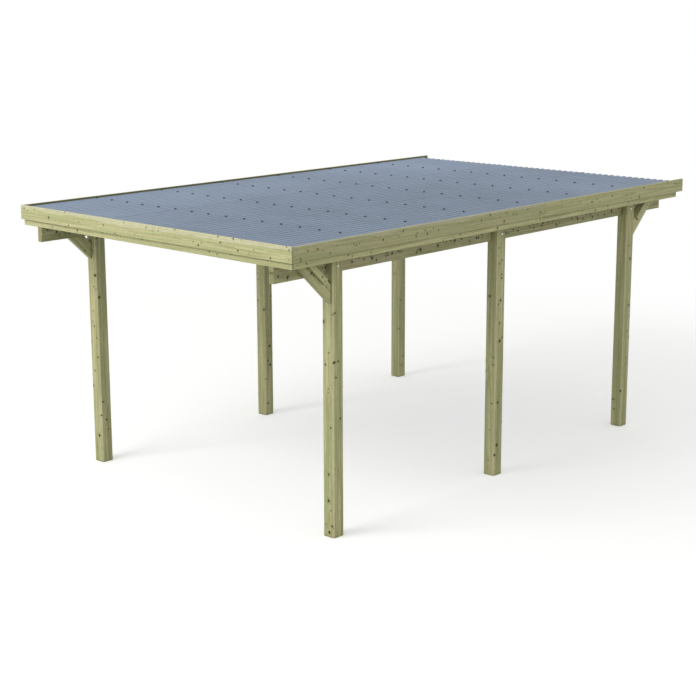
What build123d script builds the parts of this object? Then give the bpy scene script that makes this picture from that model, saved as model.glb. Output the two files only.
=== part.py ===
from build123d import *
import os
from math import atan2, cos, radians, sin, tan

os.makedirs("parts", exist_ok=True)

# The frame: +X across the width, +Y towards the open rear edge of the roof, +Z up.
# The origin is on the ground, under the middle of the roof. All sizes are millimetres.

# Overall length, from the face of the front fascia to the rear ends of the side fascias
overall_length = 5380.0

# Roof sheets: trapezoidal waves that run front to back, lapped by one crest
wave_pitch = 70.0
wave_height = 18.0
crest_width = 30.0
valley_width = 20.0
sheet_thickness = 1.4
waves_per_sheet = 15
sheet_count = 3
lap_clearance = 0.3
sheet_edge_clearance = 9.5
sheet_front_clearance = 3.0
sheet_rear_setback = 5.0

# Posts
post_section = 115.0
post_arris = 10.0
post_spacing_across = 2845.0
bay_length = 2030.0
front_overhang = 625.0

# Beams that lie in the notched post tops
beam_thickness = 50.0
beam_height = 125.0
beam_underside = 2070.0

# Rafters that cross the beams
rafter_thickness = 45.0
rafter_height = 135.0
rafter_pitch = 750.0
first_row_behind_post = 146.0

# Upper fascia and the lower board set back behind it
fascia_thickness = 19.0
fascia_height = 120.0
fascia_above_rafters = 35.0
lower_board_thickness = 19.0
lower_board_height = 120.0
rear_frame_setback = 85.0
board_arris = 2.0
front_board_length = 3056.0
board_joint_gap = 1.5

# Knee braces outside the end posts
brace_thickness = 45.0
brace_width = 107.0
brace_lower_strip = 60.0
brace_groove_width = 5.0
brace_groove_depth = 3.0
brace_angle = 43.0
brace_drop = 222.0
batten_length_from_post = 114.0

# Coach bolts through the post tongues and the beams
bolt_above_beam_underside = 60.0
bolt_radius = 4.0
bolt_clearance = 0.5
bolt_head_radius = 10.0
bolt_head_height = 4.0
bolt_head_bevel = 2.5
washer_radius = 12.0
washer_thickness = 2.0
nut_across_flats = 13.0
nut_height = 6.5
bolt_end_length = 4.0

# Lengthwise places
front_face = -overall_length / 2
rear_end = overall_length / 2
front_post_y = front_face + front_overhang
post_rows = {
    "front": front_post_y,
    "middle": front_post_y + bay_length,
    "rear": front_post_y + 2 * bay_length,
}
fascia_back = front_face + fascia_thickness
lower_board_back = fascia_back + lower_board_thickness
frame_rear = rear_end - rear_frame_setback

# Places across the width
sheet_cover = waves_per_sheet * wave_pitch
roof_width = sheet_count * sheet_cover + crest_width
fascia_inner = roof_width / 2 + sheet_edge_clearance
fascia_outer = fascia_inner + fascia_thickness
lower_board_inner = fascia_inner - lower_board_thickness
post_x = post_spacing_across / 2
post_outer = post_x + post_section / 2
beam_inner = post_x - post_section / 2
beam_outer = beam_inner + beam_thickness

# Heights
beam_top = beam_underside + beam_height
bolt_height = beam_underside + bolt_above_beam_underside
rafter_top = beam_top + rafter_height
fascia_top = rafter_top + fascia_above_rafters
fascia_bottom = fascia_top - fascia_height
lower_board_bottom = beam_top
sides = {"left": -1, "right": 1}


def save(piece, label):
    """Names a finished piece and writes it to its own file."""
    piece.part.label = label
    export_step(piece.part, f"parts/{label}.step")


def timber(low, high, grain):
    """Builds a straight timber between two opposite corners, its long edges eased."""
    size = [end - start for start, end in zip(low, high)]
    middle = [(start + end) / 2 for start, end in zip(low, high)]
    with BuildPart() as board:
        with BuildSketch(Plane(origin=(middle[0], middle[1], low[2]))):
            Rectangle(size[0], size[1])
        extrude(amount=size[2])
        chamfer(board.edges().filter_by(grain), length=board_arris)
    return board


def mirrored_span(side, near, far):
    """Gives the low and high X of a span that lies at near to far from the middle."""
    ends = sorted((side * near, side * far))
    return ends[0], ends[1]


# Posts: eased arrises, the inner half of the head notched for the beam, and a bolt hole
for side_name, side in sides.items():
    for row_name, row_y in post_rows.items():
        with BuildPart() as post:
            with BuildSketch(Plane(origin=(side * post_x, row_y, 0))) as section:
                Rectangle(post_section, post_section)
                chamfer(section.vertices(), length=post_arris)
            extrude(amount=beam_top)
            notch_middle = side * (beam_inner + beam_outer) / 2
            with BuildSketch(Plane(origin=(notch_middle, row_y, beam_underside))):
                Rectangle(beam_thickness, post_section)
            extrude(amount=beam_height, mode=Mode.SUBTRACT)
            with Locations(Plane(origin=(side * post_outer, row_y, bolt_height), z_dir=(side, 0, 0))):
                Hole(radius=bolt_radius + bolt_clearance, depth=post_section)
        save(post, f"post_{row_name}_{side_name}")

# Beams: one on each side, carried in the notches of its three posts
for side_name, side in sides.items():
    low_x, high_x = mirrored_span(side, beam_inner, beam_outer)
    with BuildPart() as beam:
        low, high = (low_x, fascia_back, beam_underside), (high_x, frame_rear, beam_top)
        add(timber(low, high, Axis.Y).part)
        for row_y in post_rows.values():
            with Locations(Plane(origin=(side * beam_outer, row_y, bolt_height), z_dir=(side, 0, 0))):
                Hole(radius=bolt_radius + bolt_clearance, depth=beam_thickness)
    save(beam, f"beam_{side_name}")

# Rafters: one behind the front boards, one at the rear ends of the beams, the rest between
rafter_rows = [lower_board_back + rafter_thickness / 2]
row_y = front_post_y + first_row_behind_post
while row_y < frame_rear - rafter_thickness * 2:
    rafter_rows.append(row_y)
    row_y += rafter_pitch
rafter_rows.append(frame_rear - rafter_thickness / 2)
for number, row_y in enumerate(rafter_rows, start=1):
    low = (-lower_board_inner, row_y - rafter_thickness / 2, beam_top)
    high = (lower_board_inner, row_y + rafter_thickness / 2, rafter_top)
    save(timber(low, high, Axis.X), f"rafter_{number}")

# Front fascia: one board that laps over the ends of the side fascias
low = (-fascia_outer, front_face, fascia_bottom)
high = (fascia_outer, fascia_back, fascia_top)
save(timber(low, high, Axis.X), "fascia_front")

# Front lower board: laps over the side lower boards and stands on the beam ends
lower_board_top = lower_board_bottom + lower_board_height
low = (-fascia_inner, fascia_back, lower_board_bottom)
high = (fascia_inner, lower_board_back, lower_board_top)
save(timber(low, high, Axis.X), "lower_board_front")

# Side boards: each run is two lengths that meet end to end
side_joint_y = fascia_back + front_board_length
for side_name, side in sides.items():
    fascia_x = mirrored_span(side, fascia_inner, fascia_outer)
    lower_x = mirrored_span(side, lower_board_inner, fascia_inner)
    half_gap = board_joint_gap / 2
    fascia_lengths = {
        "front": (fascia_back, side_joint_y - half_gap),
        "rear": (side_joint_y + half_gap, rear_end),
    }
    lower_lengths = {
        "front": (lower_board_back, side_joint_y - half_gap),
        "rear": (side_joint_y + half_gap, frame_rear),
    }
    for length_name, (start, end) in fascia_lengths.items():
        low, high = (fascia_x[0], start, fascia_bottom), (fascia_x[1], end, fascia_top)
        save(timber(low, high, Axis.Y), f"fascia_{side_name}_{length_name}")
    for length_name, (start, end) in lower_lengths.items():
        low, high = (lower_x[0], start, lower_board_bottom), (lower_x[1], end, lower_board_top)
        save(timber(low, high, Axis.Y), f"lower_board_{side_name}_{length_name}")

# Knee braces: a wide board against the beam's outer face, mitred to the post and the roof,
# with a groove along its face and a square-ended batten over its upper strip
slope = tan(radians(brace_angle))
along = cos(radians(brace_angle))
rise = sin(radians(brace_angle))
brace_tip = beam_underside - brace_drop
brace_outer = beam_outer + brace_thickness
batten_thickness = post_outer - brace_outer
joint_tip = brace_tip + brace_lower_strip / along
upper_tip = brace_tip + brace_width / along
batten_width = brace_width - brace_lower_strip
for side_name, side in sides.items():
    for row_name, outwards in (("front", -1), ("rear", 1)):
        post_face = post_rows[row_name] + outwards * post_section / 2
        brace_start, brace_end = mirrored_span(side, beam_outer, brace_outer)
        batten_start, batten_end = mirrored_span(side, brace_outer, post_outer)
        brace_outline = [
            (post_face, brace_tip),
            (post_face + outwards * (beam_top - brace_tip) / slope, beam_top),
            (post_face + outwards * (beam_top - upper_tip) / slope, beam_top),
            (post_face, upper_tip),
        ]
        groove_origin = (side * brace_outer, post_face, joint_tip)
        groove_plane = Plane(
            origin=groove_origin, x_dir=(side, 0, 0), z_dir=(0, outwards * along, rise)
        )
        with BuildPart() as brace:
            with BuildSketch(Plane.YZ.offset(brace_start)):
                with BuildLine():
                    Polyline(*brace_outline, close=True)
                make_face()
            extrude(amount=brace_thickness)
            with BuildSketch(groove_plane):
                with BuildLine():
                    Polyline(
                        (0, brace_groove_width / 2),
                        (-brace_groove_depth, 0),
                        (0, -brace_groove_width / 2),
                        close=True,
                    )
                make_face()
            extrude(amount=(beam_top - brace_tip) * 2, both=True, mode=Mode.SUBTRACT)
        save(brace, f"brace_{row_name}_{side_name}")

        near_low = (
            post_face + outwards * batten_length_from_post * along,
            joint_tip + batten_length_from_post * rise,
        )
        near_high = (near_low[0] - outwards * batten_width * rise, near_low[1] + batten_width * along)
        batten_outline = [
            near_low,
            (post_face + outwards * (beam_top - joint_tip) / slope, beam_top),
            (post_face + outwards * (beam_top - upper_tip) / slope, beam_top),
            near_high,
        ]
        with BuildPart() as batten:
            with BuildSketch(Plane.YZ.offset(batten_start)):
                with BuildLine():
                    Polyline(*batten_outline, close=True)
                make_face()
            extrude(amount=batten_thickness)
        save(batten, f"brace_batten_{row_name}_{side_name}")

# Coach bolts: a bevelled round head outside, a shank through both timbers, a washer and a nut
bolt_length = post_outer - beam_inner + washer_thickness + nut_height + bolt_end_length
for side_name, side in sides.items():
    for row_name, row_y in post_rows.items():
        head_seat = Plane(origin=(side * post_outer, row_y, bolt_height), z_dir=(side, 0, 0))
        nut_seat = Plane(origin=(side * beam_inner, row_y, bolt_height), z_dir=(-side, 0, 0))
        with BuildPart() as bolt:
            with BuildSketch(head_seat):
                Circle(bolt_head_radius)
            extrude(amount=bolt_head_height)
            crown = bolt.faces().sort_by(Axis.X, reverse=side < 0)[-1]
            chamfer(crown.edges(), length=bolt_head_bevel)
            with BuildSketch(head_seat):
                Circle(bolt_radius)
            extrude(amount=-bolt_length)
            with BuildSketch(nut_seat):
                Circle(washer_radius)
            extrude(amount=washer_thickness)
            with BuildSketch(nut_seat.offset(washer_thickness)):
                RegularPolygon(nut_across_flats / 2, 6, major_radius=False)
            extrude(amount=nut_height)
        save(bolt, f"bolt_{row_name}_{side_name}")

# Roof sheets: each is one folded profile of even thickness, and its first crest lies over its
# neighbour's last one, with the lap clearance between them all round
flank_width = (wave_pitch - crest_width - valley_width) / 2
flank_angle = atan2(wave_height, flank_width)
fold_shift = tan(flank_angle / 2)
lap_rise = sheet_thickness + lap_clearance


def sheet_outline(first_crest, laps_over):
    """Gives the closed outline of a sheet's profile, from its first crest to its last one."""
    valley = rafter_top + sheet_thickness
    crest = valley + wave_height
    upper, lower = [], []

    def fold(x, z, lean):
        """Adds one fold, with its lower corner moved along the flank that it bends into."""
        upper.append((x, z))
        lower.append((x + lean * fold_shift * sheet_thickness, z - sheet_thickness))

    for wave in range(waves_per_sheet + 1):
        left = first_crest + wave * wave_pitch
        right = left + crest_width
        rise = lap_rise if wave == 0 and laps_over else 0
        if wave > 0:
            fold(left - flank_width, valley, 1)
        fold(left, crest + rise, min(wave, 1))
        if wave < waves_per_sheet:
            fold(right + rise * fold_shift, crest + rise, -1)
            fold(right + flank_width + rise / sin(flank_angle), valley, -1)
        else:
            fold(right, crest, 0)
    return [*upper, *reversed(lower)]


sheet_front = fascia_back + sheet_front_clearance
sheet_length = frame_rear - sheet_rear_setback - sheet_front
for number, sheet_name in enumerate(("left", "middle", "right")):
    outline = sheet_outline(number * sheet_cover - roof_width / 2, number > 0)
    with BuildPart() as sheet:
        with BuildSketch(Plane.XZ.offset(-sheet_front)):
            with BuildLine():
                Polyline(*outline, close=True)
            make_face()
        extrude(amount=-sheet_length)
    save(sheet, f"roof_sheet_{sheet_name}")
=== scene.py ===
"""An open timber carport, dressed around its packed construction.

Everything is in metres in the construction's own frame: +X across the width, +Y towards the open
rear edge of the roof, +Z up, with the origin on the ground under the middle of the roof.
"""

import logging
import math
import random
from collections.abc import Iterable, Sequence
from dataclasses import dataclass, field
from enum import Enum
from functools import partial

import bmesh
import bpy
from mathutils import Matrix, Vector


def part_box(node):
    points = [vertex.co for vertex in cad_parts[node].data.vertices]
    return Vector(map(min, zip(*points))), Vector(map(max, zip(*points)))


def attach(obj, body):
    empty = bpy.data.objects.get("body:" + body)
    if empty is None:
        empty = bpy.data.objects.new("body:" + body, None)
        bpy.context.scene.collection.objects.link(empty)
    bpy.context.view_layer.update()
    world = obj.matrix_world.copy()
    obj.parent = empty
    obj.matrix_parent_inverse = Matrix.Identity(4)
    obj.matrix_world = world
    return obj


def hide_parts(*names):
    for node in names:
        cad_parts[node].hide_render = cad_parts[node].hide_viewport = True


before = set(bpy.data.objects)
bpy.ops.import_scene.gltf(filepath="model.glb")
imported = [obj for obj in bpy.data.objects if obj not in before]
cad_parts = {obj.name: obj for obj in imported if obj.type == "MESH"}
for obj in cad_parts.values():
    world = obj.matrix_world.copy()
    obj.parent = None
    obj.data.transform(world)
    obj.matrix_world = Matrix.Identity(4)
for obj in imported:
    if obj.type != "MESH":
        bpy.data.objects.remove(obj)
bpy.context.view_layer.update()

log = logging.getLogger("carport")

MM = 0.001
WELD = 0.01 * MM
BODY = "root"
WHITE = "#FFFFFF"
SOFT_STEP = {"interpolation_type": "SMOOTHSTEP"}
# A step in white noise that gives a second, unrelated set of chances
SECOND_DRAW = (17.3, 5.1, 2.9)
MEAN_NOISE = (0.5, 0.5, 0.5)

# The values between which a pattern goes from none to all, or a finish from one state to the other
Span = tuple[float, float]


class Slot(Enum):
    """Names of two of the record's material slots, which no piece here takes its finish from."""

    ROOF_SHEET = "roof_sheet"
    BOLT_STEEL = "bolt_steel"


class Band(Enum):
    """How wide a band of pale sapwood a board shows along its upper edge. A negative width hides it."""

    NONE = -1.0
    UPPER_EDGE = 32 * MM
    NARROW_EDGE = 18 * MM


def linear(hex_colour: str) -> tuple[float, float, float, float]:
    """Turns an sRGB hex colour into the linear one that shaders take.

    Args:
        hex_colour: Six hex digits after a hash sign.

    Returns:
        Linear red, green and blue, and an alpha of one.
    """
    # The numbers are those of the sRGB standard's own curve
    channels = [int(hex_colour[start:start + 2], 16) / 255 for start in (1, 3, 5)]
    red, green, blue = (c / 12.92 if c <= 0.04045 else ((c + 0.055) / 1.055) ** 2.4 for c in channels)
    return red, green, blue, 1.0


def add_node(tree: bpy.types.NodeTree, kind: str, *values: object, **settings: object) -> bpy.types.Node:
    """Adds one shader node with its settings, values and links.

    Args:
        tree: The node tree that gets the node.
        kind: The node's type, without its "ShaderNode" prefix.
        values: What the node's live sockets take, in order: a number, a vector, a colour, a socket,
            a node that stands for its first live output, or None. A dict at the end gives sockets by name.
        settings: The node's properties.

    Returns:
        The new node.
    """
    node = tree.nodes.new("ShaderNode" + kind)
    for name, setting in settings.items():
        setattr(node, name, setting)
    named = values[-1] if values and isinstance(values[-1], dict) else {}
    in_order = values[:-1] if named else values
    live = [socket for socket in node.inputs if socket.enabled]
    wanted = [*zip(live, in_order), *((node.inputs[name], value) for name, value in named.items())]
    for socket, value in wanted:
        if isinstance(value, bpy.types.Node):
            value = next(output for output in value.outputs if output.enabled)
        if isinstance(value, bpy.types.NodeSocket):
            tree.links.new(value, socket)
        elif value is not None:
            socket.default_value = value
    return node


def new_material(name: str) -> tuple[bpy.types.Material, partial]:
    """Makes an empty node material.

    Args:
        name: The finish's name.

    Returns:
        The material, and what adds a node to it.
    """
    material = bpy.data.materials.new(name)
    material.use_nodes = True
    material.node_tree.nodes.clear()
    return material, partial(add_node, material.node_tree)


def dress(piece: bpy.types.Object, material: bpy.types.Material) -> None:
    """Gives a piece one material in all its slots.

    Args:
        piece: The object.
        material: Its finish.
    """
    if not piece.material_slots:
        piece.data.materials.append(material)
    for slot in piece.material_slots:
        slot.material = material


def finished_piece(
    name: str, shape: bmesh.types.BMesh, materials: Sequence[bpy.types.Material]
) -> bpy.types.Object:
    """Turns a finished bmesh into a piece that rides on the frame.

    Args:
        name: The piece's name.
        shape: Its shape, in place. It is freed.
        materials: Its materials, in the order of the faces' material numbers.

    Returns:
        The new object, at the origin.
    """
    mesh = bpy.data.meshes.new(name)
    shape.to_mesh(mesh)
    shape.free()
    mesh.shade_smooth()
    for material in materials:
        mesh.materials.append(material)
    piece = bpy.data.objects.new(name, mesh)
    bpy.context.scene.collection.objects.link(piece)
    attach(piece, BODY)
    return piece


def revolve(outline: Iterable[tuple[float, float]], steps: int) -> bmesh.types.BMesh:
    """Spins an outline about the Z axis into a closed shell.

    Args:
        outline: Radius and height of each point, from the lower pole to the upper one.
        steps: How many steps make the full turn.

    Returns:
        The shell.
    """
    shape = bmesh.new()
    points = [shape.verts.new((radius, 0, height)) for radius, height in outline]
    lines = [shape.edges.new(ends) for ends in zip(points, points[1:])]
    bmesh.ops.spin(
        shape, geom=[*points, *lines], cent=(0, 0, 0), axis=(0, 0, 1), angle=math.tau, steps=steps,
        use_merge=True,
    )
    bmesh.ops.remove_doubles(shape, verts=shape.verts, dist=WELD)
    bmesh.ops.recalc_face_normals(shape, faces=shape.faces)
    return shape


def join_into(whole: bmesh.types.BMesh, part: bmesh.types.BMesh, places: Iterable[Matrix]) -> None:
    """Adds a part to a larger shape at each of its places.

    Args:
        whole: The shape that grows.
        part: The part, about its own origin. It is freed.
        places: Where the copies go.
    """
    stencil = bpy.data.meshes.new("stencil")
    part.to_mesh(stencil)
    part.free()
    for place in places:
        before = len(whole.verts)
        whole.from_mesh(stencil)
        whole.verts.ensure_lookup_table()
        bmesh.ops.transform(whole, matrix=place, verts=whole.verts[before:])
    bpy.data.meshes.remove(stencil)


@dataclass(frozen=True)
class BoardAxes:
    """Where a board lies and which way its grain runs.

    Attributes:
        middle: The board's middle.
        along: The direction of its length and grain.
        across: The direction of its width.
        through: The direction of its thickness.
        half: Half its length, width and thickness.
    """

    middle: Vector
    along: Vector
    across: Vector
    through: Vector
    half: Vector

    @classmethod
    def straight(cls, node: str) -> "BoardAxes":
        """Reads a board that lies along one of the main directions.

        Args:
            node: The board's CAD node.

        Returns:
            Its axes, longest side first.
        """
        low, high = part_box(node)
        size = high - low
        order = sorted(range(3), key=lambda axis: -size[axis])
        along, across = (Vector(Matrix.Identity(3)[axis]) for axis in order[:2])
        half = Vector([size[axis] / 2 for axis in order])
        return cls((low + high) / 2, along, across, along.cross(across), half)

    @classmethod
    def slanted(cls, node: str, along: Vector) -> "BoardAxes":
        """Reads a board that slants in the plane of a side.

        Args:
            node: The board's CAD node.
            along: The direction of its grain.

        Returns:
            Its axes.
        """
        through = Vector((1, 0, 0))
        axes = (along, through.cross(along), through)
        corners = [vertex.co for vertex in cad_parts[node].data.vertices]
        spans = [[corner.dot(axis) for corner in corners] for axis in axes]
        middle = sum(((min(span) + max(span)) / 2 * axis for span, axis in zip(spans, axes)), Vector())
        half = Vector([(max(span) - min(span)) / 2 for span in spans])
        return cls(middle, *axes, half)

    def turn(self) -> Matrix:
        """Gives the turn from the frame's directions to the board's own."""
        return Matrix((self.along, self.across, self.through))


@dataclass(frozen=True)
class Knots:
    """One family of branches that run out from the pith.

    Attributes:
        spacing: Mean distance between them along the board.
        radius: The largest radius.
        share: The share of places that hold one.
        smallest: The smallest radius, as a share of the largest.
        play: The share of its stretch that a branch may stand in, so that its halo isn't cut off.
        reach: How far out in the board's section a branch may aim, as a share of half the section.
        lean: How far a branch may lean along the board.
    """

    spacing: float
    radius: float
    share: float
    smallest: float = 0.6
    play: float = 0.5
    reach: float = 0.85
    lean: float = 35 * MM


@dataclass(frozen=True)
class Streaks:
    """Noise that is drawn out one way, along the grain of a board or the waves of a sheet.

    Attributes:
        width: The size of a streak across that way.
        length: Its size along that way.
        detail: How many finer layers it has.
        shows: The values between which it goes from none to all.
    """

    width: float
    length: float
    detail: float
    shows: Span


@dataclass(frozen=True)
class TreatedPine:
    """Planed pine, pressure treated with a copper salt.

    The salt gives the pale yellow wood a soft green cast, strongest in the open sapwood. Planing leaves
    it dull, with the darker latewood and the hard knots a little smoother. Warm streaks and a little
    resin run along the grain. The worn arrises are paler, with a painted highlight on them. Where
    boards meet, dirt and painted shade darken the wood, and the inner face of the rim, towards the roof
    sheets, is darkened with painted shade. The real growth rings are about 3 mm apart and are drawn
    four times as wide, and fibre, mottle and resin are drawn coarser as well, so that they show in the
    render.
    """

    # Colours
    early_wood: str = "#C4C492"
    late_wood: str = "#9B9660"
    green_wood: str = "#A5AB76"
    warm_wood: str = "#CFC69A"
    resin_wood: str = "#A5834F"
    pale_sapwood: str = "#D2D0B0"
    # Worn arrises, made paler also by a painted highlight
    arris_wear_and_highlight: str = "#D6D1A2"
    knot_core: str = "#4C4422"
    knot_rim: str = "#2B2914"
    nail_head: str = "#45453C"
    end_grain: str = "#8E8A58"
    # Painted shade on the rim's inner face, as if it lay in shadow beside the roof sheets
    inner_face_shade: str = "#67643F"
    # Dirt, with painted shade, in the corners where boards meet
    corner_dirt_and_shade: str = "#4C4828"

    # Streaks along the grain
    green: Streaks = Streaks(48 * MM, 1500 * MM, 2.0, (0.42, 0.66))
    warm: Streaks = Streaks(28.8 * MM, 900 * MM, 1.0, (0.51, 0.67))
    lines: Streaks = Streaks(13 * MM, 1100 * MM, 2.0, (0.5, 0.7))
    resin: Streaks = Streaks(9 * MM, 330 * MM, 1.0, (0.71, 0.79))
    fibre: Streaks = Streaks(5 * MM, 260 * MM, 3.0, (0.2, 0.8))
    mottle: Streaks = Streaks(13 * MM, 42 * MM, 2.0, (0.3, 0.7))
    sapwood_wave: Streaks = Streaks(400 * MM, 420 * MM, 2.0, (0.0, 1.0))
    streak_share: float = 0.45
    resin_share: float = 0.6
    fibre_shade: Span = (0.85, 1.12)
    mottle_shade: Span = (0.92, 1.08)

    # Growth rings
    ring_spacing: float = 12 * MM
    ring_depth: float = 0.5
    late_starts: Span = (0.25, 0.85)
    late_ends: Span = (0.88, 1.0)
    year_swell: float = 48 * MM
    year_detail: float = 1.0
    log_taper: float = 9 * MM
    bend_at_knots: float = 16.8 * MM
    bend_of_fibre: float = 6 * MM
    drift: float = 26 * MM
    drift_length: float = 900 * MM
    drift_width: float = 300 * MM
    drift_detail: float = 1.5

    # Knots, whose reaches are in branch radii
    branches: tuple[Knots, ...] = (
        Knots(390 * MM, 10 * MM, 0.7), Knots(170 * MM, 7.5 * MM, 0.6), Knots(105 * MM, 6 * MM, 0.6)
    )
    knot_raggedness: float = 0.5
    knot_reach: Span = (1.1, 0.8)
    halo_reach: Span = (3.0, 0.8)
    knot_rim_reach: Span = (0.35, 0.9)
    knot_share: float = 0.92
    halo_share: float = 0.28

    # Sapwood, worn arrises with a painted highlight, and nails
    sapwood_wave_depth: float = 35 * MM
    sapwood_border: Span = (-2 * MM, 3 * MM)
    sapwood_share: float = 0.55
    arris_highlight_shows: Span = (0.15, 0.45)
    arris_highlight_share: float = 0.6
    nail_radius: float = 4.5 * MM
    nail_flat_radius: float = 3.15 * MM
    nail_inset: float = 28 * MM
    nail_row: float = 0.55

    # End grain, the inner face in painted shade, and dirt with painted shade in the corners
    end_shows: Span = (0.6, 0.8)
    end_share: float = 0.6
    inner_shade_shows: Span = (0.5, 0.8)
    inner_shade_share: float = 0.9
    dirt_and_shade_reach: float = 32 * MM
    dirt_and_shade_shows: Span = (0.85, 0.35)
    dirt_and_shade_share: float = 0.55
    dirt_and_shade_samples: int = 6

    # Gloss and relief
    roughness: Span = (0.58, 0.78)
    late_polish: float = 0.06
    late_relief: float = 0.4
    knot_relief: float = 0.5
    relief: float = 0.6 * MM
    relief_strength: float = 0.5


# A share, as a socket's value, and the colour that it lays over what is there
Layer = tuple[object, object]


class PineGrain:
    """The growth pattern of one board, as a node group that like timbers share."""

    def __init__(self, pine: TreatedPine) -> None:
        """Builds the group.

        Args:
            pine: The finish that it draws.
        """
        self.pine = pine
        self.tree = bpy.data.node_groups.new("treated pine grain", "ShaderNodeTree")
        self.add = partial(add_node, self.tree)
        sockets = {
            ("INPUT", "NodeSocketVector"): ("Place", "Facing", "Half size", "Pith", "Chance"),
            ("INPUT", "NodeSocketFloat"): ("Pale edge", "Tone", "Nails", "Damp side"),
            ("OUTPUT", "NodeSocketColor"): ("Colour",),
            ("OUTPUT", "NodeSocketFloat"): ("Roughness", "Height"),
        }
        for (way, kind), names in sockets.items():
            for name in names:
                self.tree.interface.new_socket(name=name, in_out=way, socket_type=kind)
        self.given = self.tree.nodes.new("NodeGroupInput").outputs
        self.result = self.tree.nodes.new("NodeGroupOutput").inputs
        self.grain = self.drifted()
        self.fibre = self.stretched_noise(pine.fibre)
        self.knot, self.halo, self.knot_edge = self.branches()
        self.late = self.rings()
        self.draw()

    def drifted(self) -> bpy.types.Node:
        """Bends the grain gently from side to side along the board.

        Returns:
            Where a point would lie in straight grain.
        """
        add, pine = self.add, self.pine
        pace = (1 / pine.drift_length, 1 / pine.drift_width, 1 / pine.drift_width)
        slow = add("VectorMath", self.given["Place"], pace, self.given["Chance"], operation="MULTIPLY_ADD")
        noise = add("TexNoise", slow, {"Scale": 1.0, "Detail": pine.drift_detail})
        about_zero = add("VectorMath", noise.outputs["Color"], MEAN_NOISE, operation="SUBTRACT")
        sideways = (0, pine.drift, pine.drift)
        return add("VectorMath", about_zero, sideways, self.given["Place"], operation="MULTIPLY_ADD")

    def stretched_noise(self, streaks: Streaks) -> bpy.types.NodeSocket:
        """Draws noise that is drawn out along the grain.

        Args:
            streaks: Its sizes.

        Returns:
            The noise, from zero to one.
        """
        pace = (1 / streaks.length, 1 / streaks.width, 1 / streaks.width)
        place = self.add("VectorMath", self.grain, pace, self.given["Chance"], operation="MULTIPLY_ADD")
        return self.add("TexNoise", place, {"Scale": 1.0, "Detail": streaks.detail}).outputs["Fac"]

    def branch_layer(self, knots: Knots, layer: int) -> tuple[bpy.types.Node, bpy.types.Node]:
        """Draws branches that run out from the pith, one at most in each stretch of the board.

        Args:
            knots: The family of branches.
            layer: Its number, which sets its chances apart.

        Returns:
            How far a point lies from the nearest branch in branch radii, and whether there is one.
        """
        add = self.add
        start = add("SeparateXYZ", self.given["Chance"])
        along = add("SeparateXYZ", self.given["Place"]).outputs["X"]
        place = add("Math", along, 1 / knots.spacing, start.outputs[layer], operation="MULTIPLY_ADD")
        stretch = add("Math", place, operation="FLOOR")
        draw_from = add("CombineXYZ", stretch, start.outputs["Y"], float(layer))
        first = add("SeparateXYZ", add("TexWhiteNoise", draw_from).outputs["Color"])
        again = add("VectorMath", draw_from, SECOND_DRAW, operation="ADD")
        second = add("SeparateXYZ", add("TexWhiteNoise", again).outputs["Color"])
        within = add("Math", first.outputs["X"], knots.play, (1 - knots.play) / 2, operation="MULTIPLY_ADD")
        branch_number = add("Math", stretch, within, operation="ADD")
        from_start = add("Math", branch_number, start.outputs[layer], operation="SUBTRACT")
        branch_along = add("Math", from_start, knots.spacing, operation="MULTIPLY")
        # The branch leaves the pith towards a point inside the board's section
        reach = Vector((0, knots.reach, knots.reach))
        aim = add("CombineXYZ", 0.0, first.outputs["Y"], first.outputs["Z"])
        aim = add("VectorMath", aim, reach * 2, -reach, operation="MULTIPLY_ADD")
        aim = add("VectorMath", aim, self.given["Half size"], operation="MULTIPLY")
        outwards = add("VectorMath", aim, self.given["Pith"], operation="SUBTRACT")
        lean = add("Math", second.outputs["X"], knots.lean * 2, -knots.lean, operation="MULTIPLY_ADD")
        direction = add("VectorMath", outwards, add("CombineXYZ", lean), operation="ADD")
        root = add("VectorMath", self.given["Pith"], add("CombineXYZ", branch_along), operation="ADD")
        offset = add("VectorMath", self.given["Place"], root, operation="SUBTRACT")
        out_along = add("VectorMath", offset, direction, operation="PROJECT")
        beside = add("VectorMath", offset, out_along, operation="SUBTRACT")
        distance = add("VectorMath", beside, operation="LENGTH").outputs["Value"]
        smallest = knots.radius * knots.smallest
        spread = knots.radius - smallest
        radius = add("Math", second.outputs["Y"], spread, smallest, operation="MULTIPLY_ADD")
        in_radii = add("Math", distance, radius, operation="DIVIDE")
        outward_side = add("VectorMath", offset, direction, operation="DOT_PRODUCT").outputs["Value"]
        outward_side = add("Math", outward_side, 0.0, operation="GREATER_THAN")
        chosen = add("Math", second.outputs["Z"], knots.share, operation="LESS_THAN")
        return in_radii, add("Math", outward_side, chosen, operation="MULTIPLY")

    def branches(self) -> list[bpy.types.Node]:
        """Draws all the families of branches.

        Returns:
            How much of a point is a knot, the bent grain around one, and a knot's dark rim.
        """
        add, pine = self.add, self.pine
        raggedness = pine.knot_raggedness
        ragged = add("Math", self.fibre, raggedness, -raggedness / 2, operation="MULTIPLY_ADD")
        found = [0.0, 0.0, 0.0]
        for layer, knots in enumerate(pine.branches):
            in_radii, present = self.branch_layer(knots, layer)
            uneven = add("Math", in_radii, ragged, operation="ADD")
            parts = ((uneven, pine.knot_reach), (in_radii, pine.halo_reach), (uneven, pine.knot_rim_reach))
            for number, (distance, reach) in enumerate(parts):
                part = add("MapRange", distance, *reach, 0.0, 1.0, **SOFT_STEP)
                part = add("Math", part, present, operation="MULTIPLY")
                found[number] = add("Math", found[number], part, operation="MAXIMUM")
        return found

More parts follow.
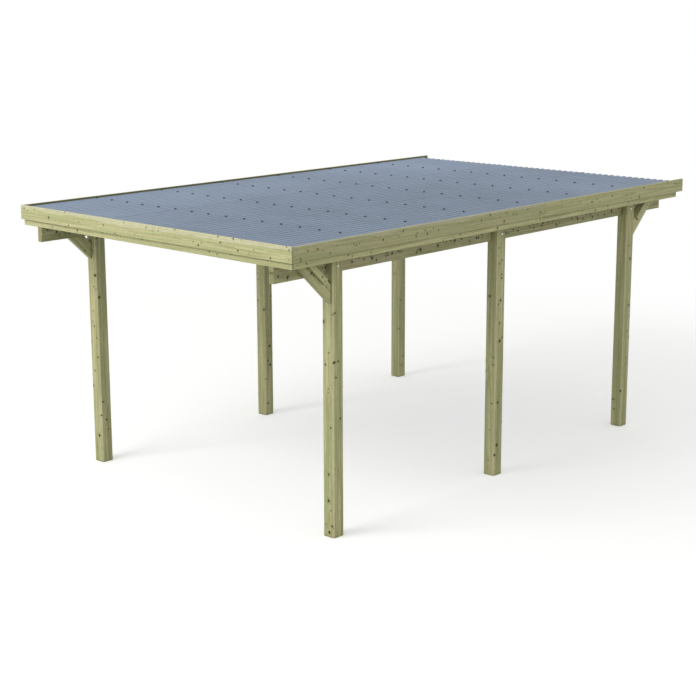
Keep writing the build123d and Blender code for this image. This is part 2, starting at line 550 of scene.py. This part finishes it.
    def rings(self) -> bpy.types.Node:
        """Draws the growth rings around the pith, which bend around knots and differ from year to year.

        Returns:
            How much of a point is late wood.
        """
        add, pine = self.add, self.pine
        from_pith = add("VectorMath", self.grain, self.given["Pith"], operation="SUBTRACT")
        flat = add("VectorMath", from_pith, (0, 1, 1), operation="MULTIPLY")
        radius = add("VectorMath", flat, operation="LENGTH").outputs["Value"]
        along = add("SeparateXYZ", self.grain).outputs["X"]
        bends = ((along, pine.log_taper), (self.halo, pine.bend_at_knots), (self.fibre, pine.bend_of_fibre))
        for cause, bend in bends:
            radius = add("Math", cause, bend, radius, operation="MULTIPLY_ADD")
        swell = {"Scale": 1 / pine.year_swell, "Detail": pine.year_detail}
        uneven_years = add("TexNoise", radius, swell, noise_dimensions="1D")
        rings = add("Math", radius, 1 / pine.ring_spacing, uneven_years, operation="MULTIPLY_ADD")
        year = add("Math", rings, operation="FRACT")
        rise = add("MapRange", year, *pine.late_starts, 0.0, 1.0, **SOFT_STEP)
        fall = add("MapRange", year, *pine.late_ends, 1.0, 0.0, **SOFT_STEP)
        return add("Math", rise, fall, operation="MULTIPLY")

    def pale_band(self) -> bpy.types.Node:
        """Draws the wavy band of pale sapwood along a board's upper edge.

        Returns:
            How much of a point lies in the band.
        """
        add, pine = self.add, self.pine
        across = add("SeparateXYZ", self.given["Place"]).outputs["Y"]
        half_width = add("SeparateXYZ", self.given["Half size"]).outputs["Y"]
        from_edge = add("Math", half_width, across, operation="SUBTRACT")
        wave = self.stretched_noise(pine.sapwood_wave)
        depth = pine.sapwood_wave_depth
        border = add("Math", wave, depth * 2, -depth, operation="MULTIPLY_ADD")
        border = add("Math", border, self.given["Pale edge"], operation="ADD")
        inside = add("Math", border, from_edge, operation="SUBTRACT")
        return add("MapRange", inside, *pine.sapwood_border, 0.0, 1.0, **SOFT_STEP)

    def nails(self) -> bpy.types.Node:
        """Draws the nail heads: two at each end of a board, flush with its wide faces.

        Returns:
            How much of a point is a nail head.
        """
        add, pine = self.add, self.pine
        folded = add("VectorMath", self.given["Place"], operation="ABSOLUTE")
        corner = add("VectorMath", self.given["Half size"], (1, pine.nail_row, 0), operation="MULTIPLY")
        place = add("VectorMath", corner, (pine.nail_inset, 0, 0), operation="SUBTRACT")
        flat = add("VectorMath", folded, (1, 1, 0), operation="MULTIPLY")
        distance = add("VectorMath", flat, place, operation="DISTANCE").outputs["Value"]
        head = add("MapRange", distance, pine.nail_radius, pine.nail_flat_radius, 0.0, 1.0)
        return add("Math", head, self.given["Nails"], operation="MULTIPLY")

    def wood_layers(self) -> list[Layer]:
        """Lists the wood's own colours over the early wood: the rings and the streaks.

        Returns:
            The layers, lowest first.
        """
        add, pine = self.add, self.pine
        rings = add("Math", self.late, pine.ring_depth, operation="MULTIPLY")
        layers = [(rings, linear(pine.late_wood))]
        stains = (
            (pine.green, pine.streak_share, pine.green_wood),
            (pine.warm, pine.streak_share, pine.warm_wood),
            (pine.lines, pine.streak_share, pine.late_wood),
            (pine.resin, pine.resin_share, pine.resin_wood),
        )
        for streaks, most, hue in stains:
            noise = self.stretched_noise(streaks)
            share = add("MapRange", noise, *streaks.shows, 0.0, most, **SOFT_STEP)
            layers.append((share, linear(hue)))
        return layers

    def board_layers(self) -> list[Layer]:
        """Lists what sawing and nailing show: sapwood, worn arrises with a painted highlight, knots and
        nails.

        Returns:
            The layers, lowest first.
        """
        add, pine = self.add, self.pine
        sapwood = add("Math", self.pale_band(), pine.sapwood_share, operation="MULTIPLY")
        # The chamfers along the arrises are paler: wear, and a painted highlight where the edges catch
        # light
        facing = add("VectorMath", self.given["Facing"], operation="ABSOLUTE")
        facing = add("SeparateXYZ", facing)
        arris_highlight = add("Math", facing.outputs["Y"], facing.outputs["Z"], operation="MULTIPLY")
        arris_highlight = add("MapRange", arris_highlight, *pine.arris_highlight_shows, 0.0, pine.arris_highlight_share, **SOFT_STEP)
        halo = add("Math", self.halo, pine.halo_share, operation="MULTIPLY")
        knot = add("Math", self.knot, pine.knot_share, operation="MULTIPLY")
        knot_wood = add(
            "Mix", self.knot_edge, linear(pine.knot_core), linear(pine.knot_rim), data_type="RGBA"
        )
        return [
            (sapwood, linear(pine.pale_sapwood)),
            (arris_highlight, linear(pine.arris_wear_and_highlight)),
            (halo, linear(pine.late_wood)),
            (knot, knot_wood),
            (self.nails(), linear(pine.nail_head)),
        ]

    def end_and_shade_layers(self) -> list[Layer]:
        """Lists the darker ends, the rim's inner face in painted shade, and dirt with painted shade in
        corners.

        Returns:
            The layers, lowest first.
        """
        add, pine = self.add, self.pine
        inwards = add("SeparateXYZ", self.given["Facing"]).outputs["Z"]
        facing = add("VectorMath", self.given["Facing"], operation="ABSOLUTE")
        endwards = add("SeparateXYZ", facing).outputs["X"]
        ends = add("MapRange", endwards, *pine.end_shows, 0.0, pine.end_share)
        # Painted shade: the face of a rim board that looks towards the roof is darkened
        damp = add("Math", inwards, self.given["Damp side"], operation="MULTIPLY")
        damp = add("MapRange", damp, *pine.inner_shade_shows, 0.0, pine.inner_shade_share)
        # Ambient occlusion darkens corners and joints: dirt, and painted shade where less light reaches
        reach = {"Distance": pine.dirt_and_shade_reach}
        open_air = add("AmbientOcclusion", reach, samples=pine.dirt_and_shade_samples).outputs["AO"]
        dirt_and_shade = add("MapRange", open_air, *pine.dirt_and_shade_shows, 0.0, pine.dirt_and_shade_share)
        return [
            (ends, linear(pine.end_grain)),
            (damp, linear(pine.inner_face_shade)),
            (dirt_and_shade, linear(pine.corner_dirt_and_shade)),
        ]

    def draw(self) -> None:
        """Lays the colours over one another, shades them and links the group's outputs."""
        add, pine = self.add, self.pine
        colour = linear(pine.early_wood)
        for share, hue in (*self.wood_layers(), *self.board_layers(), *self.end_and_shade_layers()):
            colour = add("Mix", share, colour, hue, data_type="RGBA")
        mottle = self.stretched_noise(pine.mottle)
        shade = add("MapRange", self.fibre, *pine.fibre.shows, *pine.fibre_shade)
        blotches = add("MapRange", mottle, *pine.mottle.shows, *pine.mottle_shade)
        shade = add("Math", shade, blotches, operation="MULTIPLY")
        shade = add("Math", shade, self.given["Tone"], operation="MULTIPLY")
        colour = add("VectorMath", colour, {"Scale": shade}, operation="SCALE")
        dull = add("MapRange", self.fibre, 0.0, 1.0, *pine.roughness)
        dull = add("Math", self.late, -pine.late_polish, dull, operation="MULTIPLY_ADD")
        ridge = add("Math", self.late, pine.late_relief, self.fibre, operation="MULTIPLY_ADD")
        ridge = add("Math", self.knot, pine.knot_relief, ridge, operation="MULTIPLY_ADD")
        self.tree.links.new(colour.outputs[0], self.result["Colour"])
        self.tree.links.new(dull.outputs[0], self.result["Roughness"])
        self.tree.links.new(ridge.outputs[0], self.result["Height"])


@dataclass
class TimberSet:
    """A set of like timbers that are cut from pine.

    Attributes:
        nodes: Their CAD nodes.
        grain: The shared growth pattern.
        pith_depth: How far the pith lies from the middle of the board, through its thickness.
        pith_spread: How far it may lie to either side.
        tone: Their mean brightness.
        band: Whether a band of pale sapwood shows along the upper edge.
        nailed: Whether nail heads show near the ends.
        damp: Whether the face towards the roof sheets is darkened with painted shade.
        pith_play: Between which shares the pith's depth differs from board to board.
        tone_play: Between which shares the brightness differs.
        noise_reach: How far apart two boards' noise may start.
    """

    nodes: list[str]
    grain: PineGrain
    pith_depth: float
    pith_spread: float
    tone: float = 1.0
    band: Band = Band.NONE
    nailed: bool = False
    damp: bool = False
    pith_play: Span = (0.7, 1.4)
    tone_play: Span = (0.95, 1.05)
    noise_reach: float = 40.0

    def axes(self, node: str) -> BoardAxes:
        """Gives a board's axes."""
        return BoardAxes.straight(node)

    def material(self, node: str) -> bpy.types.Material:
        """Makes the finish of one board, which no other board repeats.

        Args:
            node: The board's CAD node, whose name also seeds its chances.

        Returns:
            The material.
        """
        chance = random.Random(node)
        axes = self.axes(node)
        turn = axes.turn()
        angles = turn.to_euler()
        material, add = new_material(f"treated pine {node}")
        surface = add("TexCoord")
        place = add("Mapping", surface.outputs["Object"], -(turn @ axes.middle), angles)
        facing = add("Mapping", surface.outputs["Normal"], {"Rotation": angles}, vector_type="VECTOR")
        pith_side = chance.choice((-1, 1))
        pith = (
            0.0,
            chance.uniform(-self.pith_spread, self.pith_spread),
            pith_side * self.pith_depth * chance.uniform(*self.pith_play),
        )
        # The face in painted shade is the one that looks towards the middle of the roof
        outwards = axes.middle.dot(axes.through)
        group = add("Group", {
            "Place": place,
            "Facing": facing,
            "Half size": axes.half,
            "Pith": pith,
            "Chance": [chance.uniform(0, self.noise_reach) for _ in range(3)],
            "Pale edge": self.band.value,
            "Tone": self.tone * chance.uniform(*self.tone_play),
            "Nails": float(self.nailed),
            "Damp side": math.copysign(float(self.damp), -outwards),
        }, node_tree=self.grain.tree)
        pine = self.grain.pine
        relief = add("Bump", {
            "Strength": pine.relief_strength, "Distance": pine.relief, "Height": group.outputs["Height"]
        })
        shader = add("BsdfPrincipled", {
            "Base Color": group.outputs["Colour"], "Roughness": group.outputs["Roughness"], "Normal": relief
        })
        add("OutputMaterial", shader)
        return material

    def build(self) -> None:
        """Dresses each timber of the set."""
        for node in self.nodes:
            dress(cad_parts[node], self.material(node))
            log.info("dressed %s", node)


@dataclass
class KneeBraces(TimberSet):
    """The slanted braces and their battens, whose grain follows the slant."""

    def axes(self, node: str) -> BoardAxes:
        """Gives a slanted board's axes.

        Args:
            node: The brace's or the batten's CAD node.

        Returns:
            Its axes. A brace's underside runs from corner to corner of its box, which gives the slant.
        """
        low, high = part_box(node.replace("batten_", ""))
        outwards = -1 if "front" in node else 1
        slant = Vector((0, outwards * (high.y - low.y), high.z - low.z)).normalized()
        return BoardAxes.slanted(node, slant)


@dataclass(frozen=True)
class SlateSheet:
    """Slate grey hard vinyl sheet, extruded and folded into waves.

    Extruding leaves long faint streaks, and the surface is smooth with a satin sheen. Below the crests
    the flanks and the valleys are paler and duller: dust, and painted light that evens out their shade.
    The open rear end and the left side are a little paler, as a painted reflection.
    """

    colour: str = "#8695A9"
    streak: str = "#808FA3"
    # Dust, with painted light that pales the shaded flanks
    dust: str = "#A0AFC1"
    streaks: Streaks = Streaks(14 * MM, 1800 * MM, 3.0, (0.35, 0.7))
    streak_share: float = 0.6
    cloud_size: float = 650 * MM
    cloud_detail: float = 4.0
    cloud_roughness: float = 0.6
    clouds_show: Span = (0.3, 0.7)
    cloud_tone: Span = (0.94, 1.05)
    # Painted reflection: the open rear end and the left side are made paler
    reflection_along: Span = (600 * MM, 1600 * MM)
    rear_tone: float = 1.13
    reflection_across: Span = (400 * MM, -1400 * MM)
    side_reflection_tones: Span = (0.95, 1.1)
    plain_crest_depth: float = 1.0 * MM
    dust_and_light_depth: float = 6.0 * MM
    dust_and_light_cover: Span = (0.7, 1.0)
    roughness: float = 0.58
    dust_roughness: float = 0.2
    refraction: float = 1.45
    relief: float = 0.3 * MM
    relief_strength: float = 0.3

    def material(self, name: str, crest: float, tone: float) -> bpy.types.Material:
        """Makes the finish of one sheet.

        Args:
            name: The sheet's name.
            crest: The height of its crests.
            tone: Its brightness beside the other sheets.

        Returns:
            The material.
        """
        material, add = new_material(f"slate grey vinyl {name}")
        place = add("TexCoord").outputs["Object"]
        pace = (1 / self.streaks.width, 1 / self.streaks.length, 1 / self.streaks.width)
        stretched = add("VectorMath", place, pace, operation="MULTIPLY")
        streaks = add("TexNoise", stretched, {"Scale": 1.0, "Detail": self.streaks.detail}).outputs["Fac"]
        share = add("MapRange", streaks, *self.streaks.shows, 0.0, self.streak_share)
        colour = add("Mix", share, linear(self.colour), linear(self.streak), data_type="RGBA")
        clouds = add("TexNoise", place, {
            "Scale": 1 / self.cloud_size, "Detail": self.cloud_detail, "Roughness": self.cloud_roughness
        }).outputs["Fac"]
        spot = add("SeparateXYZ", place)
        # Below the crests the flanks and valleys are paler: dust, and painted light that evens out their
        # shade
        low = add(
            "MapRange", spot.outputs["Z"], crest - self.plain_crest_depth, crest - self.dust_and_light_depth, 0.0, 1.0
        )
        patchy = add("MapRange", clouds, *self.clouds_show, *self.dust_and_light_cover)
        dust_and_light = add("Math", low, patchy, operation="MULTIPLY")
        colour = add("Mix", dust_and_light, colour, linear(self.dust), data_type="RGBA")
        # Painted reflection: paler towards the open rear end and towards the left side
        rear = add("MapRange", spot.outputs["Y"], *self.reflection_along, 1.0, self.rear_tone, **SOFT_STEP)
        side = add("MapRange", spot.outputs["X"], *self.reflection_across, *self.side_reflection_tones, **SOFT_STEP)
        painted_reflection = add("Math", rear, side, operation="MULTIPLY")
        bright = add("MapRange", clouds, *self.clouds_show, *(shade * tone for shade in self.cloud_tone))
        bright = add("Math", bright, painted_reflection, operation="MULTIPLY")
        colour = add("VectorMath", colour, {"Scale": bright}, operation="SCALE")
        gloss = add("Math", dust_and_light, self.dust_roughness, self.roughness, operation="MULTIPLY_ADD")
        relief = add("Bump", {
            "Strength": self.relief_strength, "Distance": self.relief, "Height": streaks
        })
        shader = add("BsdfPrincipled", {
            "Base Color": colour, "Roughness": gloss, "Normal": relief, "IOR": self.refraction
        })
        add("OutputMaterial", shader)
        return material


@dataclass(frozen=True)
class Moulding:
    """A small moulded part, in nylon or rubber.

    Moulding gives it an even satin skin, which weather turns a little chalky in patches.
    """

    colour: str
    chalk: str
    roughness: float
    patch: float = 6 * MM
    patch_detail: float = 2.0
    chalk_shows: Span = (0.4, 0.75)
    chalk_share: float = 0.6
    chalk_roughness: float = 0.3

    def material(self, name: str) -> bpy.types.Material:
        """Makes the finish.

        Args:
            name: The finish's name.

        Returns:
            The material.
        """
        material, add = new_material(name)
        place = add("TexCoord").outputs["Object"]
        patches = add("TexNoise", place, {"Scale": 1 / self.patch, "Detail": self.patch_detail})
        share = add("MapRange", patches.outputs["Fac"], *self.chalk_shows, 0.0, self.chalk_share)
        colour = add("Mix", share, linear(self.colour), linear(self.chalk), data_type="RGBA")
        gloss = add("Math", share, self.chalk_roughness, self.roughness, operation="MULTIPLY_ADD")
        shader = add("BsdfPrincipled", {"Base Color": colour, "Roughness": gloss})
        add("OutputMaterial", shader)
        return material


@dataclass(frozen=True)
class ZincPlate:
    """Bright zinc plated steel.

    The thin plating shows faint cloudy crystals and scatters light softly, so a head looks nearly white.
    """

    bright: str = "#F1F2EF"
    dull: str = "#D5D8D4"
    crystal: float = 5 * MM
    roughness: Span = (0.32, 0.48)

    def material(self) -> bpy.types.Material:
        """Makes the finish.

        Returns:
            The material.
        """
        material, add = new_material("bright zinc plated steel")
        crystals = add("TexVoronoi", add("TexCoord").outputs["Object"], {"Scale": 1 / self.crystal})
        share = add("SeparateXYZ", crystals.outputs["Color"]).outputs["X"]
        colour = add("Mix", share, linear(self.bright), linear(self.dull), data_type="RGBA")
        gloss = add("MapRange", share, 0.0, 1.0, *self.roughness)
        shader = add("BsdfPrincipled", {"Base Color": colour, "Roughness": gloss, "Metallic": 1.0})
        add("OutputMaterial", shader)
        return material


@dataclass
class RoofCovering:
    """Three sheets folded into trapezoidal waves, each lapped over its neighbour by one crest."""

    wave_pitch: float = 70 * MM
    wave_height: float = 18 * MM
    crest_width: float = 30 * MM
    valley_width: float = 20 * MM
    thickness: float = 1.4 * MM
    fold_radius: float = 2.5 * MM
    fold_steps: int = 3
    flat_weight: int = 100
    tones: dict[str, float] = field(default_factory=lambda: {"left": 1.0, "middle": 0.99, "right": 1.0})

    def outline(self, node: str) -> list[tuple[float, float]]:
        """Works out the upper surface of a sheet from its CAD node's box.

        Args:
            node: The sheet's CAD node.

        Returns:
            X and Z of each fold, from the first crest to the last one.
        """
        low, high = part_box(node)
        flank = (self.wave_pitch - self.crest_width - self.valley_width) / 2
        slope = math.atan2(self.wave_height, flank)
        valley = low.z + self.thickness
        crest = valley + self.wave_height
        rise = high.z - crest
        waves = round((high.x - low.x - self.crest_width) / self.wave_pitch)
        points = [(low.x, crest + rise)]
        for wave in range(waves):
            right = low.x + wave * self.wave_pitch + self.crest_width
            lift = rise if wave == 0 else 0.0
            points += [
                (right + lift * math.tan(slope / 2), crest + lift),
                (right + flank + lift / math.sin(slope), valley),
                (right + flank + self.valley_width, valley),
                (right + flank * 2 + self.valley_width, crest),
            ]
        return [*points, (high.x, crest)]

    def sheet(self, node: str) -> bmesh.types.BMesh:
        """Folds one sheet: its outline is drawn out to the sheet's length and its folds are rounded.

        Args:
            node: The sheet's CAD node.

        Returns:
            The sheet's upper surface.
        """
        low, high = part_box(node)
        shape = bmesh.new()
        points = [shape.verts.new((x, low.y, z)) for x, z in self.outline(node)]
        lines = [shape.edges.new(ends) for ends in zip(points, points[1:])]
        drawn = bmesh.ops.extrude_edge_only(shape, edges=lines)["geom"]
        moved = [item for item in drawn if isinstance(item, bmesh.types.BMVert)]
        bmesh.ops.translate(shape, verts=moved, vec=(0, high.y - low.y, 0))
        folds = [edge for edge in shape.edges if len(edge.link_faces) == 2]
        bmesh.ops.bevel(
            shape, geom=folds, offset=self.fold_radius, offset_type="OFFSET", segments=self.fold_steps,
            profile=0.5, affect="EDGES", material=-1,
        )
        if sum(face.normal.z for face in shape.faces) < 0:
            bmesh.ops.reverse_faces(shape, faces=shape.faces)
        return shape

    def build(self) -> None:
        """Builds the three sheets and stands them for their CAD nodes."""
        finish = SlateSheet()
        for name, tone in self.tones.items():
            node = f"roof_sheet_{name}"
            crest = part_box(node)[0].z + self.thickness + self.wave_height
            material = finish.material(name, crest, tone)
            piece = finished_piece(f"folded_sheet_{name}", self.sheet(node), [material])
            wall = piece.modifiers.new("sheet thickness", "SOLIDIFY")
            wall.thickness = self.thickness
            wall.offset = -1
            wall.use_even_offset = True
            flats = piece.modifiers.new("flat faces", "WEIGHTED_NORMAL")
            flats.weight = self.flat_weight
            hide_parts(node)
            log.info("folded %s, %d faces", piece.name, len(piece.data.polygons))


@dataclass
class CapScrews:
    """Screws with domed caps, on every third crest over each rafter but the two at the ends."""

    roof: RoofCovering
    crests_between: int = 3
    flange_radius: float = 12.5 * MM
    flange_thickness: float = 1.5 * MM
    cap_radius: float = 10.5 * MM
    cap_height: float = 9.5 * MM
    steps: int = 14
    dome_steps: int = 4
    flange_taper: float = 0.96
    rubber_share: float = 0.8
    sway_along: float = 5 * MM
    sway_across: float = 1 * MM

    def outline(self) -> list[tuple[float, float]]:
        """Works out the flange's and the dome's outline.

        Returns:
            Radius and height of each point, from the middle of the foot to the top.
        """
        base = self.flange_thickness
        rise = self.cap_height - base
        turns = [math.pi / 2 * step / self.dome_steps for step in range(self.dome_steps)]
        dome = [(self.cap_radius * math.cos(turn), base + rise * math.sin(turn)) for turn in turns]
        rim = [(0, 0), (self.flange_radius, 0), (self.flange_radius * self.flange_taper, base)]
        return [*rim, *dome, (0, self.cap_height)]

    def places(self) -> list[Matrix]:
        """Works out where the screws stand: on the crests, over the middles of the rafters.

        Returns:
            The place and turn of each, with its foot at the crest's top.
        """
        chance = random.Random("cap screws")
        rafters = nodes_named("rafter_")[1:-1]
        first_low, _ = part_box("roof_sheet_left")
        _, last_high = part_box("roof_sheet_right")
        first_crest = first_low.x + self.roof.crest_width / 2
        last_crest = last_high.x - self.roof.crest_width / 2
        step = self.crests_between * self.roof.wave_pitch
        count = round((last_crest - first_crest) / step) + 1
        lapping = [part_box(f"roof_sheet_{name}") for name in ("middle", "right")]
        lap_top = lapping[0][1].z
        plain_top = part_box("roof_sheet_left")[1].z
        found = []
        for rafter in rafters:
            low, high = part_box(rafter)
            for number in range(count):
                x = first_crest + number * step
                on_lap = any(0 < x - lap_low.x < self.roof.crest_width for lap_low, _ in lapping)
                spot = Vector((x, (low.y + high.y) / 2, lap_top if on_lap else plain_top))
                spot.y += chance.uniform(-self.sway_along, self.sway_along)
                spot.x += chance.uniform(-self.sway_across, self.sway_across)
                turn = Matrix.Rotation(chance.uniform(0, math.tau), 4, "Z")
                found.append(Matrix.Translation(spot) @ turn)
        return found

    def build(self) -> None:
        """Builds all the screws as one joined piece."""
        whole = bmesh.new()
        cap = revolve(self.outline(), self.steps)
        rubber_top = self.flange_thickness * self.rubber_share
        for face in cap.faces:
            face.material_index = int(face.calc_center_median().z < rubber_top)
        places = self.places()
        join_into(whole, cap, places)
        nylon = Moulding(colour="#20252F", chalk="#30363F", roughness=0.5).material("slate nylon cap")
        rubber = Moulding(colour="#2A2D31", chalk="#44484C", roughness=0.6).material("rubber washer")
        finished_piece("cap_screws", whole, [nylon, rubber])
        log.info("set %d cap screws", len(places))


@dataclass
class CoachBolts:
    """The bolts through the post heads and beams: a domed head outside, a washer and a nut inside."""

    head_radius: float = 10 * MM
    head_height: float = 4 * MM
    head_rim: float = 0.8 * MM
    dome_steps: int = 6
    shank_radius: float = 4 * MM
    washer_radius: float = 12 * MM
    washer_thickness: float = 2 * MM
    nut_across_flats: float = 13 * MM
    nut_height: float = 6.5 * MM
    end_length: float = 4 * MM
    nut_sides: int = 6
    edge: float = 0.7 * MM
    edge_steps: int = 2
    steps: int = 32

    def shank_and_head(self, length: float) -> bmesh.types.BMesh:
        """Turns the bolt itself, end down and head up.

        Args:
            length: Its whole length.

        Returns:
            The closed shell.
        """
        under_head = length - self.head_height
        rim_top = under_head + self.head_rim
        turns = [math.pi / 2 * step / self.dome_steps for step in range(self.dome_steps)]
        rise = length - rim_top
        dome = [(self.head_radius * math.cos(turn), rim_top + rise * math.sin(turn)) for turn in turns]
        end = [(0, 0), (self.shank_radius - self.edge, 0), (self.shank_radius, self.edge)]
        step = [(self.shank_radius, under_head), (self.head_radius, under_head)]
        return revolve([*end, *step, *dome, (0, length)], self.steps)

    def washer(self) -> bmesh.types.BMesh:
        """Turns the washer, which lies on the beam.

        Returns:
            The closed shell.
        """
        bottom = self.end_length + self.nut_height
        top = bottom + self.washer_thickness
        radius = self.washer_radius
        return revolve([(0, bottom), (radius, bottom), (radius, top), (0, top)], self.steps)

    def nut(self) -> bmesh.types.BMesh:
        """Makes the hexagon nut, with its edges broken.

        Returns:
            The closed shell.
        """
        shape = bmesh.new()
        corner_radius = self.nut_across_flats / 2 / math.cos(math.pi / self.nut_sides)
        bmesh.ops.create_cone(
            shape, cap_ends=True, segments=self.nut_sides, radius1=corner_radius, radius2=corner_radius,
            depth=self.nut_height,
        )
        bmesh.ops.translate(shape, verts=shape.verts, vec=(0, 0, self.end_length + self.nut_height / 2))
        bmesh.ops.bevel(
            shape, geom=shape.edges[:], offset=self.edge, offset_type="OFFSET", segments=self.edge_steps,
            profile=0.5, affect="EDGES", material=-1,
        )
        return shape

    def build(self) -> None:
        """Builds a bolt in the place of each CAD bolt."""
        zinc = ZincPlate().material()
        for node in nodes_named("bolt_"):
            low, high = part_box(node)
            middle = (low + high) / 2
            outwards = Vector((math.copysign(1, middle.x), 0, 0))
            foot = middle - outwards * (high.x - low.x) / 2
            place = Matrix.Translation(foot) @ outwards.to_track_quat("Z", "Y").to_matrix().to_4x4()
            whole = bmesh.new()
            for part in (self.shank_and_head(high.x - low.x), self.washer(), self.nut()):
                join_into(whole, part, [place])
            piece = finished_piece(f"coach_{node}", whole, [zinc])
            edges = piece.modifiers.new("flat faces", "WEIGHTED_NORMAL")
            edges.keep_sharp = True
            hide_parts(node)
            log.info("turned %s", piece.name)


@dataclass
class Studio:
    """A plain pale floor, soft light from the front left, and the camera at the photograph's angle."""

    floor_size: float = 160.0
    floor_drop: float = 0.5 * MM
    shade_radius: float = 4.5
    white_radius: float = 9.0
    floor_glow: float = 0.34
    floor_seen: str = "#F4F4F2"
    floor_in_light: str = "#B8B8B6"
    camera_place: tuple[float, float, float] = (8.817, -9.895, 4.083)
    camera_tilt: float = math.radians(78.11)
    camera_turn: float = math.radians(41.91)
    lens: float = 75.75
    sensor: float = 36.0
    shift: tuple[float, float] = (-0.03, -0.06)
    key_place: tuple[float, float, float] = (-2.5, -11.5, 8.5)
    key_aim: tuple[float, float, float] = (0.0, -0.5, 1.4)
    key_size: float = 7.0
    key_power: float = 720.0
    horizon_strength: float = 1.12
    zenith_strength: float = 0.42
    walls_to_ceiling: Span = (0.1, 0.9)

    def floor(self) -> None:
        """Lays the floor, which keeps the soft shadow near the posts and turns white further out."""
        shape = bmesh.new()
        bmesh.ops.create_grid(shape, x_segments=1, y_segments=1, size=self.floor_size / 2)
        bmesh.ops.translate(shape, verts=shape.verts, vec=(0, 0, -self.floor_drop))
        mesh = bpy.data.meshes.new("floor")
        shape.to_mesh(mesh)
        shape.free()
        floor = bpy.data.objects.new("floor", mesh)
        bpy.context.scene.collection.objects.link(floor)
        material, add = new_material("white studio floor")
        rays = add("LightPath").outputs
        seen = add("Math", rays["Is Camera Ray"], rays["Is Glossy Ray"], operation="MAXIMUM")
        in_light, as_seen = linear(self.floor_in_light), linear(self.floor_seen)
        paint = add("Mix", rays["Is Camera Ray"], in_light, as_seen, data_type="RGBA")
        bright_room = add("Emission", linear(WHITE), self.floor_glow)
        glow = add("MixShader", rays["Is Camera Ray"], None, bright_room)
        matt = add("AddShader", add("BsdfDiffuse", paint), glow)
        white = add("Emission", linear(WHITE), 1.0)
        place = add("TexCoord").outputs["Object"]
        radius = add("VectorMath", place, operation="LENGTH").outputs["Value"]
        far = add("MapRange", radius, self.shade_radius, self.white_radius, 0.0, 1.0, **SOFT_STEP)
        share = add("Math", far, seen, operation="MULTIPLY")
        both = add("MixShader", share, matt, white)
        # From below the floor is left out, so that the undersides can be looked at
        below = add("NewGeometry").outputs["Backfacing"]
        one_sided = add("MixShader", below, both, add("BsdfTransparent"))
        add("OutputMaterial", one_sided)
        dress(floor, material)

    def sky(self) -> None:
        """Lights the room softly, most from its pale walls, and shows plain white behind the object."""
        world = bpy.data.worlds.new("soft room")
        world.use_nodes = True
        bpy.context.scene.world = world
        world.node_tree.nodes.clear()
        add = partial(add_node, world.node_tree)
        rays = add("LightPath").outputs
        seen = add("Math", rays["Is Camera Ray"], rays["Is Glossy Ray"], operation="MAXIMUM")
        seen = add("Math", seen, rays["Is Transmission Ray"], operation="MAXIMUM")
        height = add("SeparateXYZ", add("TexCoord").outputs["Generated"]).outputs["Z"]
        strengths = (self.horizon_strength, self.zenith_strength)
        strength = add("MapRange", height, *self.walls_to_ceiling, *strengths)
        room = add("Background", linear(WHITE), strength)
        white = add("Background", linear(WHITE), 1.0)
        both = add("MixShader", seen, room, white)
        add("OutputWorld", both)

    def key_light(self) -> None:
        """Hangs one large soft lamp in front and to the left."""
        lamp = bpy.data.lights.new("key light", "AREA")
        lamp.shape = "SQUARE"
        lamp.size = self.key_size
        lamp.energy = self.key_power
        key = bpy.data.objects.new("key light", lamp)
        key.location = self.key_place
        towards = Vector(self.key_aim) - Vector(self.key_place)
        key.rotation_euler = towards.to_track_quat("-Z", "Y").to_euler()
        bpy.context.scene.collection.objects.link(key)

    def camera(self) -> None:
        """Sets the camera at the photograph's viewing angle."""
        data = bpy.data.cameras.new("camera")
        data.lens = self.lens
        data.sensor_width = self.sensor
        data.shift_x, data.shift_y = self.shift
        camera = bpy.data.objects.new("camera", data)
        camera.location = self.camera_place
        camera.rotation_euler = (self.camera_tilt, 0.0, self.camera_turn)
        bpy.context.scene.collection.objects.link(camera)
        bpy.context.scene.camera = camera

    def build(self) -> None:
        """Sets up the whole studio."""
        bpy.context.scene.view_settings.view_transform = "Standard"
        self.floor()
        self.sky()
        self.key_light()
        self.camera()


def nodes_named(start: str) -> list[str]:
    """Lists the CAD nodes whose names start with the given words, in order."""
    return sorted(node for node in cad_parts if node.startswith(start))


def main() -> None:
    """Builds the carport's looks in order."""
    logging.basicConfig(level=logging.INFO, format="%(name)s: %(message)s")
    # Square timbers show each branch on one face only, so theirs stand closer
    close_branches = (
        Knots(280 * MM, 15 * MM, 0.9), Knots(95 * MM, 11 * MM, 0.85), Knots(60 * MM, 8.5 * MM, 0.7)
    )
    board_grain = PineGrain(TreatedPine())
    square_grain = PineGrain(TreatedPine(ring_depth=0.6, streak_share=0.8, branches=close_branches))
    board = partial(TimberSet, grain=board_grain, pith_depth=38 * MM, nailed=True)
    # The rim boards carry painted shade on their inner faces
    rim = partial(board, pith_spread=25 * MM, damp=True)
    timbers = (
        TimberSet(nodes_named("post_"), square_grain, pith_depth=18 * MM, pith_spread=22 * MM, tone=0.96),
        TimberSet(nodes_named("beam_"), square_grain, pith_depth=55 * MM, pith_spread=40 * MM, tone=0.88),
        TimberSet(nodes_named("rafter_"), board_grain, pith_depth=50 * MM, pith_spread=45 * MM, tone=0.93),
        rim(["fascia_front"], band=Band.UPPER_EDGE),
        # Their tone of 0.85 is painted shade: the side boards are darkened as they get less light than the
        # front
        rim(["fascia_left_front", "fascia_right_front"], band=Band.NARROW_EDGE, tone=0.85),
        rim(["fascia_left_rear", "fascia_right_rear"], tone=0.92),
        board(nodes_named("lower_board_"), pith_spread=30 * MM),
        # Their tone of 1.1 is paler wood, with painted light that brightens the braces in the shade under
        # the eaves
        KneeBraces(nodes_named("brace_"), board_grain, pith_depth=45 * MM, pith_spread=30 * MM, tone=1.1),
    )
    for timber in timbers:
        timber.build()
    roof = RoofCovering()
    roof.build()
    CapScrews(roof).build()
    CoachBolts().build()
    Studio().build()


if __name__ == "__main__":
    main()
